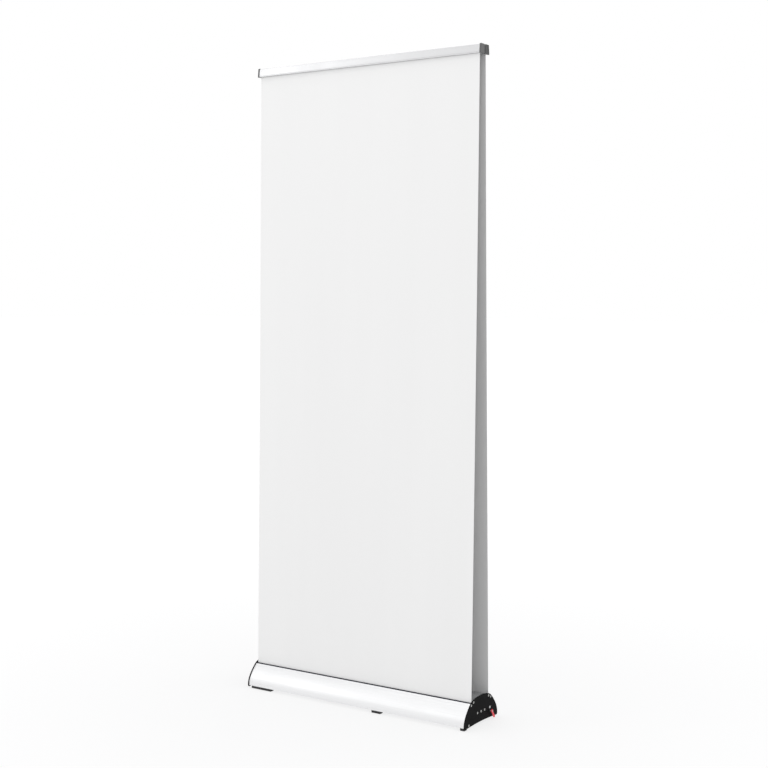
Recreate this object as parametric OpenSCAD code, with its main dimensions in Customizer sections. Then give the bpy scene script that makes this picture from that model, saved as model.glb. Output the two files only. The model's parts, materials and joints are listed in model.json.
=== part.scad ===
// Double-sided roll-up banner stand: one floor cassette with two sprung rollers, two printed
// films that lean together, two clip rails hung back to back on a telescopic pole between them.
// Frame: origin on the floor at the centre of the base, +X to the right, -Y to the front, +Z up.
// The stand looks the same after half a turn about Z, so every rear piece is drawn once at +Y and
// turned for the front.

/* [Banner] */
// Width of each film
film_w = 850; // [600:10:1000]
// Height of the visible film, from the slot to the rail mouth
film_h = 2000; // [1800:10:2200]
// Thickness of the film
film_t = 0.4; // [0.3:0.05:0.5]
// Distance of each film from the middle plane at the rail
film_top_y = 17.6; // [17.6:0.1:17.8]

/* [Base] */
// Thickness of each end plate
plate_t = 3; // [3:0.5:5]
// Height of the end plates at the middle
plate_top_z = 92; // [91:0.5:93]
// How far the casing stays inside the end plates' outline
shell_inset = 2.5; // [2:0.1:3]
// Wall of the casing shells
shell_wall = 1.8; // [1.5:0.1:2.2]
// Height of the casing's lower face above the floor
belly_z = 9.4; // [9:0.1:10]
// Height of the deck between the two slots
deck_z = 83; // [82.5:0.1:83.5]

/* [Rollers] */
// Distance of each roller axis from the middle plane
roller_y = 55; // [54:0.5:56]
// Height of the roller axes
roller_z = 40; // [39:0.5:41]
// Outer radius of the roller tube
roller_r = 16; // [15:0.5:16]
// Number of turns in each torsion spring
spring_turns = 22; // [16:1:24]

/* [Pole] */
// Outer radius of the lower tube
lower_r = 12.5; // [12.5:0.1:12.8]
// Outer radius of the middle tube
middle_r = 10.5; // [10.4:0.1:10.6]
// Outer radius of the upper tube
upper_r = 9; // [8.8:0.1:9]
// Wall of the tubes
tube_wall = 1.2; // [1:0.1:1.2]

/* [Rails] */
// Length of a rail without its caps
rail_l = 856; // [796:10:996]
// Height of a rail
rail_h = 28; // [27.5:0.1:28.5]
// Depth of a rail, front to back
rail_d = 24.7; // [24.5:0.1:25]
// Thickness of a rail end cap
rail_cap_t = 5; // [3:0.5:6]

/* [Hidden] */
$fn = 64;

// Running clearance of a shaft in its hole, and play round a fixed or loose piece, on the radius
running = 0.05;
play = 0.1;
// How far a cutter reaches past the piece that it cuts
past = 1;

// End plate outline: radius and end angle of each arc of the half arch, from the top outwards
ARCH = [[209.5, 11.6], [49.7, 42.2], [167.9, 57.1], [58.7, 90]];
arch_step = 1.5;
plate_corner_r = 6;
plate_belly_rise = 4;

base_l = film_w + 10;
plate_x = base_l / 2;
inner_x = plate_x - plate_t;
shell_x = inner_x - 0.2;

// Slot, seen in section: where a film leaves the casing
slot_y = 52.6;
slot_z = 75.2;
nose_y = 60;
groove_r = 0.6;
groove_run = 9;

// Screws: [y, z] of the four bosses of a side, and the three on the beam
screw_r = 1.9;
screw_len = 16;
screw_head_r = 3.6;
screw_head_t = 2;
screw_cross = [1.4, 3.6, 0.8];
boss_r = 3.8;
deck_boss = [46.8, deck_z - boss_r];
lip_boss = [60.3, 72.5];
tray_boss = [75, 13.2];
web_boss = [22, roller_z];
mid_boss = [0, roller_z];

web_t = 2;
web_foot_w = 11;
deck_t = 2.4;
deck_nose_y = 50.75;
deck_nose_r = 1.25;
deck_neck = [3.9, 2.5];
tray_t = 1.6;
tray_z = belly_z + shell_wall;
tray_half = 71.2;
flange_in_y = 68;
tray_boss_r = 3.6;
rivet_r = 2;
rivet_head_r = 3.6;
rivet_head_t = 1.1;
rivet_tail_r = 3;
rivet_xs = [-360, -120, 120, 360];
rivet_y = web_boss[0] + web_t + 4;

// Feet of the rear side: [lowest x, highest x]; the front has the same after half a turn
FEET = [[336, 418], [-112, -79], [-425.6, -411]];
foot_in_y = 80;
foot_out_y = 97;

// Wiper: its block beside the film, and the soft lip that stands up from it
wiper_y = 53.5;
wiper_z = 70;
wiper_w = 4.5;
wiper_step_z = 76.4;
wiper_lip_w = 2.7;
wiper_top_z = 78.3;
wiper_bead_r = 0.9;

// Roller pieces
film_roll_r = 17.6;
roller_tube_wall = 1.2;
roller_end_x = inner_x - 3;
plug_flange_t = 1;
plug_r = roller_r - roller_tube_wall - running;
plug_l = 22;
axle_r = 4;
axle_in_x = 300;
idle_r = 3;
idle_in_x = 412;
idle_socket = 2.5;
hub_r = 7;
anchor_l = 14.8;
spring_x1 = 398;
spring_x0 = 306;
spring_mean_r = 8.2;
spring_wire_r = 0.8;
spring_steps = 14;
spring_sides = 6;

// Lock pin: hangs under the axle on the hole circle of the spring plug
pin_r = 2.4;
pin_circle_r = 11.5;
pin_hole_play = 0.25;
pin_hole_depth = 8;
pin_tip_x = inner_x + 0.2;
pin_stand_off = 6;
grip_t = 3.2;
grip_w = 7.4;
grip_reach = 28.6;
grip_hub_r = 5.2;
grip_turn = -57;

// Pole: heights of the sections at full height
lower_bottom_z = 44;
lower_top_z = 780;
middle_bottom_z = 700;
middle_top_z = 1440;
upper_bottom_z = 1360;
upper_top_z = 2062;
bush_l = 30;
collar_h = 38;
collar_down = 12;
collar_r = 17;
collar_lip_t = 2;
collet_l = 22;
socket_r = 15.5;
socket_floor = 2.8;
socket_flange_r = 20;
socket_flange_t = 3;
socket_screw_r = 1.4;
socket_screw_head_r = 2.1;
socket_screw_ring = socket_r + 2.3;
foot_plug_t = 2;
foot_plug_l = 20;
head_sleeve_r = 11.2;
head_sleeve_h = 28;
head_grip = 20;
head_blade = 0.8;
hook_w = 30;
hook_arm = [5.6, 3.8];
hook_tip = [2.1, 5];

// Rails: section places of the rear rail
rail_z = slot_z + film_h - 3.2;
rail_in_y = 1.1;
rail_wall = 1.8;
rail_top_z = rail_z + rail_h;
rail_out_y = rail_in_y + rail_d;
rail_taper = 3;
rail_round = 2.5;
mouth_low = rail_z + 5.5;
mouth_high = rail_z + 16;
film_held = 17;
clamp_y = film_top_y - film_t / 2 - 0.2;
bead_y = 18;
bead_z = rail_top_z - 4;
bead_r = 1.6;
neck_t = 1.6;
jaw_hook_r = 3.2;
jaw_low_z = rail_z + 0.8;
jaw_top_z = rail_top_z - 0.4;
jaw_tip_y = 19;
jaw_gap = 0.3;
cap_gap = 0.02;
spigot = [8, 9, 8];

// How far an end cap stands proud of its rail, outwards and upwards, and its inner top corner
cap_proud_y = 1;
cap_proud_z = 1.5;
cap_in_round = 4;

// Points of the half arch, inset by a distance, from the top to where the side stands upright
function arch_centre(i) =
    i == 0
        ? [0, plate_top_z - ARCH[0][0]]
        : let (before = arch_centre(i - 1), shrink = ARCH[i - 1][0] - ARCH[i][0])
          [before[0] + shrink * sin(ARCH[i - 1][1]), before[1] + shrink * cos(ARCH[i - 1][1])];
function arch_arc(i, inset) =
    let (
        c = arch_centre(i),
        r = ARCH[i][0] - inset,
        from = i == 0 ? 0 : ARCH[i - 1][1],
        steps = ceil((ARCH[i][1] - from) / arch_step)
    )
    [for (k = [1:steps])
        let (a = from + (ARCH[i][1] - from) * k / steps)
        [c[0] + r * sin(a), c[1] + r * cos(a)]];
function arch(inset) =
    concat([[0, plate_top_z - inset]], [for (i = [0:len(ARCH) - 1]) each arch_arc(i, inset)]);
function mirrored(points) = [for (i = [len(points) - 1:-1:0]) [-points[i][0], points[i][1]]];
function corner(y, z, r, steps) =
    [for (k = [1:steps])
        let (a = 90 * k / steps)
        [y - r + r * cos(a), z - r * sin(a)]];

// A y-z outline drawn out along x, centred on x = 0
module along_x(length) {
    rotate([90, 0, 90])
        linear_extrude(height = length, center = true)
            children();
}

// A round bar along x between two places
module bar_x(x0, x1, r, y, z) {
    translate([x0, y, z])
        rotate([0, 90, 0])
            cylinder(h = x1 - x0, r = r);
}

// Half a turn about z: carries a rear piece to the front
module to_front() {
    rotate([0, 0, 180])
        children();
}

module at_yz(place) {
    translate([place[0], place[1]])
        children();
}

// Outer face of a rail at a height: it leans in towards the top
function rail_face_y(z) = rail_out_y - rail_taper * (z - rail_z) / rail_h;

// ---- base ----

module plate_outline() {
    side = arch(0);
    low = side[len(side) - 1];
    foot = corner(low[0], low[1], plate_corner_r, 8);
    edge = foot[len(foot) - 1];
    belly = [for (k = [1:9])
        let (y = edge[0] * (1 - k / 10))
        [y, edge[1] + plate_belly_rise * (1 - pow(y / edge[0], 2))]];
    half = concat(side, foot, belly);
    middle = [[0, edge[1] + plate_belly_rise]];
    left = [for (p = mirrored(half)) if (p[0] < -0.001) p];
    polygon(concat(half, middle, left));
}

// Every end-plate screw of one end, as [y, z]
PLATE_SCREWS = concat(
    [for (side = [-1, 1], p = [deck_boss, lip_boss, tray_boss, web_boss]) [side * p[0], p[1]]],
    [mid_boss]
);

// The right end plate: it holds the rear roller's spring axle and the front roller's idle pin
module end_plate() {
    color("#262626")
        difference() {
            translate([plate_x - plate_t / 2, 0, 0])
                along_x(plate_t)
                    plate_outline();
            for (p = PLATE_SCREWS) {
                bar_x(inner_x - past, plate_x + past, screw_r + running, p[0], p[1]);
                translate([plate_x - screw_head_t, p[0], p[1]])
                    rotate([0, 90, 0])
                        cylinder(h = screw_head_t + 0.02, r1 = screw_r + running, r2 = screw_head_r + play);
            }
            bar_x(inner_x - past, plate_x + past, axle_r + running, roller_y, roller_z);
            bar_x(inner_x - past, plate_x + past, pin_r + play, roller_y, roller_z - pin_circle_r);
            bar_x(inner_x - past, inner_x + idle_socket, idle_r + running, -roller_y, roller_z);
        }
}

module right_end_plate() {
    end_plate();
}

module left_end_plate() {
    to_front()
        end_plate();
}

// One countersunk screw, its head flush with the right end plate
module plate_screw() {
    difference() {
        union() {
            translate([plate_x - screw_len, 0, 0])
                rotate([0, 90, 0])
                    cylinder(h = screw_len - screw_head_t + 0.1, r = screw_r);
            translate([plate_x - screw_head_t, 0, 0])
                rotate([0, 90, 0])
                    cylinder(h = screw_head_t, r1 = screw_r, r2 = screw_head_r);
        }
        for (a = [0, 90])
            rotate([a, 0, 0])
                translate([plate_x - screw_cross[0] / 2 + 0.2, 0, 0])
                    cube(screw_cross, center = true);
    }
}

module end_plate_screws() {
    color("silver")
        for (turn = [0, 180], p = PLATE_SCREWS)
            rotate([0, 0, turn])
                translate([0, p[0], p[1]])
                    plate_screw();
}

// Curved outer wall of the rear half: nosed lip at the slot and a fine groove below it, two
// screw bosses, flange below
module rear_shell() {
    outer = [for (p = arch(shell_inset)) if (p[0] > nose_y) p];
    inner = [for (p = arch(shell_inset + shell_wall)) if (p[0] > nose_y && p[1] > tray_z + 1) p];
    low = outer[len(outer) - 1];
    nose = (outer[0] + inner[0]) / 2;
    groove = [for (p = outer) if (norm(p - outer[0]) > groove_run) p][0];
    wall = concat(
        outer,
        corner(low[0], low[1], low[1] - belly_z, 6),
        [[flange_in_y, belly_z], [flange_in_y, tray_z - 0.01], [low[0] - shell_wall, tray_z - 0.01]],
        [for (i = [len(inner) - 1:-1:0]) inner[i]]
    );
    color("#dcdddf")
        difference() {
            union() {
                along_x(2 * shell_x)
                    polygon(wall);
                bar_x(-shell_x, shell_x, norm(outer[0] - inner[0]) / 2, nose[0], nose[1]);
                bar_x(-shell_x, shell_x, boss_r, lip_boss[0], lip_boss[1]);
                bar_x(-shell_x, shell_x, tray_boss_r, tray_boss[0], tray_boss[1]);
            }
            for (p = [lip_boss, tray_boss])
                bar_x(-shell_x - past, shell_x + past, screw_r + running, p[0], p[1]);
            bar_x(-shell_x - past, shell_x + past, groove_r, groove[0], groove[1]);
        }
}

module front_shell() {
    to_front()
        rear_shell();
}

// Middle extrusion: deck with nosed edges, two webs on flanged feet, a cross web under the pole
module center_beam() {
    half_inner = web_boss[0] - web_t / 2;
    color("#c9cbce")
        difference() {
            along_x(2 * shell_x)
                difference() {
                    union() {
                        translate([-deck_boss[0], deck_z - deck_t])
                            square([2 * deck_boss[0], deck_t]);
                        translate([-half_inner - web_t / 4, roller_z - web_t / 2])
                            square([2 * half_inner + web_t / 2, web_t]);
                        at_yz(mid_boss)
                            circle(r = boss_r);
                        for (side = [0, 1])
                            mirror([side, 0])
                                beam_side();
                    }
                    for (p = PLATE_SCREWS)
                        if (abs(p[0]) < slot_y)
                            at_yz(p)
                                circle(r = screw_r + running);
                }
            translate([0, 0, roller_z + 1.1])
                cylinder(h = deck_z, r = socket_r + play);
            for (a = [45:90:315])
                rotate([0, 0, a])
                    translate([socket_screw_ring, 0, deck_z - 2 * deck_t])
                        cylinder(h = 3 * deck_t, r = socket_screw_r + running);
            for (side = [-1, 1], x = rivet_xs)
                translate([x, side * rivet_y, tray_z])
                    cylinder(h = 8, r = rivet_r + running);
        }
}

// One side of the beam in section: web on its flange, bosses, and the round nose at the slot
module beam_side() {
    web_y = web_boss[0] - web_t / 2;
    foot_z = tray_z + tray_t;
    neck_z = slot_z - 0.1;
    translate([web_y, foot_z])
        square([web_t, deck_z - deck_t / 2 - foot_z]);
    translate([web_y, foot_z])
        square([web_foot_w, web_t]);
    at_yz(web_boss)
        circle(r = boss_r);
    at_yz(deck_boss)
        circle(r = boss_r);
    translate([deck_boss[0], neck_z])
        square(deck_neck);
    translate([deck_nose_y, neck_z + deck_nose_r])
        circle(r = deck_nose_r);
}

module bottom_tray() {
    color("#b9bbbe")
        difference() {
            translate([1 - inner_x, -tray_half, tray_z])
                cube([2 * inner_x - 2, 2 * tray_half, tray_t]);
            for (side = [-1, 1], x = rivet_xs)
                translate([x, side * rivet_y, tray_z - past])
                    cylinder(h = tray_t + 2 * past, r = rivet_r + running);
        }
}

module tray_rivets() {
    color("silver")
        for (side = [-1, 1], x = rivet_xs)
            translate([x, side * rivet_y, tray_z]) {
                cylinder(h = tray_t + web_t + 0.4, r = rivet_r);
                translate([0, 0, -rivet_head_t])
                    cylinder(h = rivet_head_t, r1 = rivet_head_r - 0.8, r2 = rivet_head_r);
                translate([0, 0, tray_t + web_t])
                    cylinder(h = 1, r = rivet_tail_r);
            }
}

module rubber_feet() {
    color("#151515")
        for (turn = [0, 180], f = FEET)
            rotate([0, 0, turn])
                translate([f[0], foot_in_y, 0])
                    cube([f[1] - f[0], foot_out_y - foot_in_y, belly_z]);
}

// Soft dark strip that wipes the film, clipped on the shell's lip boss
module rear_slot_wiper() {
    color("#101118")
        along_x(2 * inner_x - 2)
            difference() {
                union() {
                    translate([wiper_y, wiper_z])
                        square([wiper_w, wiper_step_z - wiper_z]);
                    translate([wiper_y, wiper_step_z - 0.1])
                        square([wiper_lip_w, wiper_top_z - wiper_step_z + 0.1]);
                    translate([wiper_y + wiper_bead_r, wiper_top_z - 0.1])
                        square([wiper_lip_w - 2 * wiper_bead_r, wiper_bead_r + 0.1]);
                    for (y = [wiper_bead_r, wiper_lip_w - wiper_bead_r])
                        translate([wiper_y + y, wiper_top_z])
                            circle(r = wiper_bead_r);
                }
                at_yz(lip_boss)
                    circle(r = boss_r + 0.02);
            }
}

module front_slot_wiper() {
    to_front()
        rear_slot_wiper();
}

// ---- rollers ----

// Steel axle of the rear roller's spring end, fixed in the right end plate
module rear_spring_axle() {
    color("silver") {
        bar_x(axle_in_x, plate_x - 0.1, axle_r, roller_y, roller_z);
        bar_x(spring_x1 - hub_r, spring_x1 + 1, hub_r, roller_y, roller_z);
    }
}

module front_spring_axle() {
    to_front()
        rear_spring_axle();
}

module rear_idle_pin() {
    color("silver")
        bar_x(-inner_x - idle_socket + 0.1, -idle_in_x, idle_r, roller_y, roller_z);
}

module front_idle_pin() {
    to_front()
        rear_idle_pin();
}

// Helix of round wire about the x axis: rings of points joined by quads, closed at both ends
module helix_wire(turns, length, mean_r, wire_r) {
    count = turns * spring_steps;
    rings = [for (i = [0:count])
        let (a = 360 * i / spring_steps, x = length * i / count)
        for (k = [0:spring_sides - 1])
            let (b = 360 * k / spring_sides, r = mean_r + wire_r * cos(b))
            [x + wire_r * sin(b), r * cos(a), r * sin(a)]];
    sides = [for (i = [0:count - 1], k = [0:spring_sides - 1])
        let (n = (k + 1) % spring_sides, p = i * spring_sides, q = p + spring_sides)
        [p + k, p + n, q + n, q + k]];
    first = [for (k = [spring_sides - 1:-1:0]) k];
    last = [for (k = [0:spring_sides - 1]) count * spring_sides + k];
    polyhedron(points = rings, faces = concat(sides, [first, last]), convexity = 6);
}

module rear_torsion_spring() {
    color("#8c8f94")
        translate([spring_x0, roller_y, roller_z])
            helix_wire(spring_turns, spring_x1 - spring_x0 - 0.8, spring_mean_r, spring_wire_r);
}

module front_torsion_spring() {
    to_front()
        rear_torsion_spring();
}

module rear_roller_tube() {
    color("#a9acb0")
        difference() {
            bar_x(-roller_end_x, roller_end_x, roller_r, roller_y, roller_z);
            bar_x(-plate_x, plate_x, roller_r - roller_tube_wall, roller_y, roller_z);
        }
}

module front_roller_tube() {
    to_front()
        rear_roller_tube();
}

// Bearing plug with a ring of locking holes, at the roller's spring end
module rear_spring_plug() {
    color("#2e2f33")
        difference() {
            union() {
                bar_x(roller_end_x - plug_l, roller_end_x, plug_r, roller_y, roller_z);
                bar_x(roller_end_x, roller_end_x + plug_flange_t, roller_r, roller_y, roller_z);
            }
            bar_x(roller_end_x - plug_l - past, plate_x, axle_r + running, roller_y, roller_z);
            for (a = [0:45:315])
                translate([0, roller_y, roller_z])
                    rotate([a, 0, 0])
                        bar_x(
                            roller_end_x - pin_hole_depth, plate_x, pin_r + pin_hole_play,
                            0, -pin_circle_r
                        );
        }
}

module front_spring_plug() {
    to_front()
        rear_spring_plug();
}

// Plug that ties the inner end of the spring to the tube and turns on the axle's end
module rear_spring_anchor() {
    color("#2e2f33")
        difference() {
            bar_x(spring_x0 - 1.2 - anchor_l, spring_x0 - 1.2, plug_r, roller_y, roller_z);
            bar_x(axle_in_x - 0.3, spring_x1, axle_r + running, roller_y, roller_z);
        }
}

module front_spring_anchor() {
    to_front()
        rear_spring_anchor();
}

module rear_idle_plug() {
    color("#2e2f33")
        difference() {
            union() {
                bar_x(-roller_end_x, -roller_end_x + plug_l, plug_r, roller_y, roller_z);
                bar_x(-roller_end_x - plug_flange_t, -roller_end_x, roller_r, roller_y, roller_z);
            }
            bar_x(-plate_x, -idle_in_x + 0.5, idle_r + running, roller_y, roller_z);
        }
}

module front_idle_plug() {
    to_front()
        rear_idle_plug();
}

// The turns of film that stay on the roller at full height
module rear_film_roll() {
    color("#d8d8d8")
        difference() {
            bar_x(-film_w / 2, film_w / 2, film_roll_r, roller_y, roller_z);
            bar_x(-film_w, film_w, roller_r + 0.01, roller_y, roller_z);
            bar_x(roller_end_x, film_w, roller_r + 0.2, roller_y, roller_z);
            bar_x(-film_w, -roller_end_x, roller_r + 0.2, roller_y, roller_z);
        }
}

module front_film_roll() {
    to_front()
        rear_film_roll();
}

// ---- films ----

// Film in section: off the roll on its inner side, round the deck's nose, up into the rail
module film_section() {
    d = norm([slot_y - roller_y, slot_z - roller_z]);
    wind_r = film_roll_r + film_t;
    reach = sqrt(d * d - pow(wind_r, 2));
    lean = atan2(roller_y - slot_y, slot_z - roller_z) - asin(wind_r / d);
    off = [slot_y + reach * sin(lean), slot_z - reach * cos(lean)];
    half = film_t / 2;
    mouth = [film_top_y, slot_z + film_h];
    top = mouth + [0, film_held];
    polygon([
        [off[0] - half, off[1]], [slot_y - half, slot_z], [mouth[0] - half, mouth[1]],
        [top[0] - half, top[1]], [top[0] + half, top[1]], [mouth[0] + half, mouth[1]],
        [slot_y + half, slot_z], [off[0] + half, off[1]]
    ]);
}

module rear_banner() {
    color("#a4a4a4")
        along_x(film_w)
            film_section();
}

module front_banner() {
    color("#eeeeee")
        to_front()
            along_x(film_w)
                film_section();
}

// ---- lock pins ----

module rear_lock_pin() {
    color("silver")
        bar_x(pin_tip_x, plate_x + pin_stand_off + grip_t + 0.6, pin_r, roller_y, roller_z - pin_circle_r);
}

module front_lock_pin() {
    to_front()
        rear_lock_pin();
}

// Red paddle on the outer end of the pin, pointing down and outwards
module rear_pin_grip() {
    color("#e0404e")
        translate([plate_x + pin_stand_off, roller_y, roller_z - pin_circle_r])
            rotate([grip_turn, 0, 0])
                difference() {
                    union() {
                        rotate([0, 90, 0])
                            cylinder(h = grip_t, r = grip_hub_r);
                        translate([0, 0, -grip_w / 2])
                            cube([grip_t, grip_reach - grip_w / 2 - 1, grip_w]);
                        translate([0, grip_reach - grip_w / 2 - 1, 0])
                            rotate([0, 90, 0])
                                cylinder(h = grip_t, r = grip_w / 2);
                    }
                    translate([-1, 0, 0])
                        rotate([0, 90, 0])
                            cylinder(h = grip_t + 2, r = pin_r + running);
                }
}

module front_pin_grip() {
    to_front()
        rear_pin_grip();
}

// ---- pole ----

// A round tube along z
module tube(z0, z1, r, wall) {
    translate([0, 0, z0])
        difference() {
            cylinder(h = z1 - z0, r = r);
            translate([0, 0, -past])
                cylinder(h = z1 - z0 + 2 * past, r = r - wall);
        }
}

module pole_socket() {
    color("#2b2c30")
        difference() {
            union() {
                translate([0, 0, lower_bottom_z - socket_floor])
                    cylinder(h = deck_z - lower_bottom_z + socket_floor, r = socket_r);
                translate([0, 0, deck_z + 0.02])
                    cylinder(h = socket_flange_t, r = socket_flange_r);
                translate([0, 0, deck_z - 1])
                    cylinder(h = 1.5, r = socket_r);
            }
            translate([0, 0, lower_bottom_z - 0.1])
                cylinder(h = deck_z, r = lower_r + running);
            for (a = [45:90:315])
                rotate([0, 0, a])
                    translate([socket_screw_ring, 0, deck_z - past])
                        cylinder(h = socket_flange_t + 3 * past, r = socket_screw_r + running);
        }
}

module socket_screws() {
    depth = 4;
    color("silver")
        for (a = [45:90:315])
            rotate([0, 0, a])
                translate([socket_screw_ring, 0, deck_z - depth]) {
                    cylinder(h = depth + socket_flange_t + 0.1, r = socket_screw_r);
                    translate([0, 0, depth + socket_flange_t + 0.05])
                        cylinder(h = 1.2, r1 = socket_screw_head_r, r2 = socket_screw_r);
                }
}

module pole_lower_tube() {
    color("#b4b6ba")
        tube(lower_bottom_z + foot_plug_t, lower_top_z, lower_r, tube_wall);
}

module pole_foot_plug() {
    color("#1d1d1f") {
        translate([0, 0, lower_bottom_z])
            cylinder(h = foot_plug_t - 0.02, r = lower_r - play);
        translate([0, 0, lower_bottom_z + foot_plug_t - 0.1])
            cylinder(h = foot_plug_l, r = lower_r - tube_wall - running);
    }
}

// Slit ring that a twist collar squeezes on to the tube inside it
module collet(z_top, tube_r, ring_r) {
    slit = 1.5;
    difference() {
        tube(z_top, z_top + collet_l, ring_r, ring_r - tube_r - play);
        translate([0, -slit / 2, z_top - past])
            cube([ring_r + past, slit, collet_l + 2 * past]);
    }
}

module lower_collet() {
    color("#e9e9e6")
        collet(lower_top_z + 0.02, middle_r, lower_r - 0.3);
}

module upper_collet() {
    color("#e9e9e6")
        collet(middle_top_z + 0.02, upper_r, middle_r - 0.3);
}

// Fluted twist collar over the end of one tube, closing on the next
module twist_collar(z_top, outer_tube_r, inner_tube_r, r) {
    flutes = 14;
    flute_r = 1.7;
    flute_from = 4;
    shoulder = 3;
    color("#1f2023")
        translate([0, 0, z_top - collar_down])
            difference() {
                rotate_extrude()
                    polygon([
                        [0, 0], [r - shoulder / 2, 0], [r, shoulder / 2], [r, collar_h - 2 * shoulder],
                        [r - shoulder, collar_h], [0, collar_h]
                    ]);
                translate([0, 0, -past])
                    cylinder(h = collar_h + past - collar_lip_t, r = outer_tube_r + running);
                translate([0, 0, -past])
                    cylinder(h = collar_h + 2 * past, r = inner_tube_r + play + running);
                for (k = [0:flutes - 1])
                    rotate([0, 0, 360 * k / flutes])
                        translate([r + flute_r / 2, 0, flute_from])
                            cylinder(h = collar_h - 2 * shoulder - flute_from - 1, r = flute_r);
            }
}

module lower_lock_collar() {
    twist_collar(lower_top_z, lower_r, middle_r, collar_r);
}

module upper_lock_collar() {
    twist_collar(middle_top_z, middle_r, upper_r, collar_r - 2);
}

module pole_middle_tube() {
    color("#bcbec2")
        tube(middle_bottom_z, middle_top_z, middle_r, tube_wall);
}

module pole_upper_tube() {
    color("#c6c8cc")
        tube(upper_bottom_z, upper_top_z, upper_r, tube_wall);
}

// Guide bush under a sliding tube: it runs in the tube outside
module guide_bush(z_tube, tube_r, bore_r) {
    head_h = 6;
    bush_wall = 1.6;
    color("#1d1d1f")
        translate([0, 0, z_tube - head_h])
            difference() {
                union() {
                    cylinder(h = head_h - 0.02, r = bore_r - running);
                    cylinder(h = bush_l, r = tube_r - tube_wall - running);
                }
                translate([0, 0, -past])
                    cylinder(h = bush_l + 2 * past, r = tube_r - tube_wall - bush_wall);
            }
}

module middle_bush() {
    guide_bush(middle_bottom_z, middle_r, lower_r - tube_wall);
}

module upper_bush() {
    guide_bush(upper_bottom_z, upper_r, middle_r - tube_wall);
}

// Head: a sleeve on the upper tube, a blade between the rails and hooks that carry both
module pole_head() {
    sleeve_z = upper_top_z - head_grip;
    blade_z = sleeve_z + head_sleeve_h - 0.1;
    arm_top = mouth_high - 0.15;
    color("#1f2023") {
        difference() {
            translate([0, 0, sleeve_z])
                cylinder(h = head_sleeve_h, r = head_sleeve_r);
            translate([0, 0, sleeve_z - past])
                cylinder(h = head_grip + past + 0.02, r = upper_r + running);
        }
        translate([-hook_w / 2, -head_blade, blade_z])
            cube([hook_w, 2 * head_blade, arm_top - blade_z]);
        for (turn = [0, 180])
            rotate([0, 0, turn]) {
                translate([-hook_w / 2, 0, arm_top - hook_arm[1]])
                    cube([hook_w, hook_arm[0], hook_arm[1]]);
                translate([-hook_w / 2, hook_arm[0] - hook_tip[0], arm_top - 0.01])
                    cube([hook_w, hook_tip[0], hook_tip[1]]);
            }
    }
}

// ---- rails ----

// Rear rail body in section: hollow back with a hook mouth, clamp wall, hinge hook on top
module rail_body_section() {
    difference() {
        union() {
            translate([rail_in_y, rail_z])
                square([clamp_y - rail_in_y, rail_wall]);
            translate([rail_in_y, rail_top_z - rail_wall])
                square([clamp_y - rail_in_y, rail_wall]);
            translate([rail_in_y, rail_z])
                square([rail_wall, rail_h]);
            translate([clamp_y - rail_wall, rail_z])
                square([rail_wall, rail_h - 0.1]);
            at_yz([bead_y, bead_z])
                circle(r = jaw_hook_r);
        }
        translate([0, mouth_low])
            square([rail_in_y + rail_wall + 0.5, mouth_high - mouth_low]);
        at_yz([bead_y, bead_z])
            circle(r = bead_r + running);
        at_yz([bead_y, bead_z])
            polygon([[0, 0], [8, -5.6], [8, 8], [-2.5, 8]]);
    }
}

module rear_rail_body() {
    color("#f2f2f2")
        along_x(rail_l - 2 * play)
            rail_body_section();
}

module front_rail_body() {
    to_front()
        rear_rail_body();
}

// Snap jaw in section: hinge bead, neck, leaning face and the lip that holds the film
module rail_jaw_section() {
    low_y = rail_face_y(jaw_low_z);
    top_y = rail_face_y(jaw_top_z);
    at_yz([bead_y, bead_z])
        circle(r = bead_r);
    translate([bead_y, bead_z - neck_t / 2])
        square([rail_face_y(bead_z) - bead_y - rail_wall / 2, neck_t]);
    polygon([
        [low_y, jaw_low_z], [top_y, jaw_top_z],
        [top_y - rail_wall, jaw_top_z], [low_y - rail_wall, jaw_low_z]
    ]);
    translate([jaw_tip_y, jaw_low_z])
        square([low_y - rail_wall / 2 - jaw_tip_y, rail_wall]);
}

module rear_rail_jaw() {
    color("#f6f6f6")
        along_x(rail_l - 1)
            rail_jaw_section();
}

module front_rail_jaw() {
    to_front()
        rear_rail_jaw();
}

// Soft strip on the jaw's lip
module rear_jaw_gripper() {
    grip_y = film_top_y + film_t / 2 + jaw_gap;
    color("#3a3a3a")
        along_x(rail_l - 1)
            translate([grip_y, jaw_low_z])
                square([jaw_tip_y - 0.01 - grip_y, rail_wall]);
}

module front_jaw_gripper() {
    to_front()
        rear_jaw_gripper();
}

// End cap a little larger than the rail's outline, with a spigot in the rail's hollow
module rail_cap() {
    top_y = rail_face_y(rail_top_z) + cap_proud_y;
    top_z = rail_top_z + cap_proud_z;
    corner_turn = [for (k = [0:6]) [sin(15 * k), cos(15 * k)]];
    translate([rail_l / 2 + rail_cap_t / 2, 0, 0])
        along_x(rail_cap_t - cap_gap)
            polygon(concat(
                [[rail_in_y, rail_z]],
                [for (t = corner_turn)
                    [rail_in_y + cap_in_round * (1 - t[1]), top_z - cap_in_round * (1 - t[0])]],
                [for (t = corner_turn)
                    [top_y - rail_round * (1 - t[0]), top_z - rail_round * (1 - t[1])]],
                [[rail_out_y + cap_proud_y, rail_z]]
            ));
    translate([rail_l / 2 - spigot[0] / 2, 0, 0])
        along_x(spigot[0] + cap_gap)
            translate([rail_in_y + rail_wall + 2, mouth_high + 1])
                square([spigot[1], spigot[2]]);
}

module rear_rail_cap_right() {
    color("#565656")
        rail_cap();
}

module rear_rail_cap_left() {
    color("#565656")
        mirror([1, 0, 0])
            rail_cap();
}

module front_rail_cap_right() {
    color("#6e6e6e")
        mirror([0, 1, 0])
            rail_cap();
}

module front_rail_cap_left() {
    color("#6e6e6e")
        to_front()
            rail_cap();
}

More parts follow.
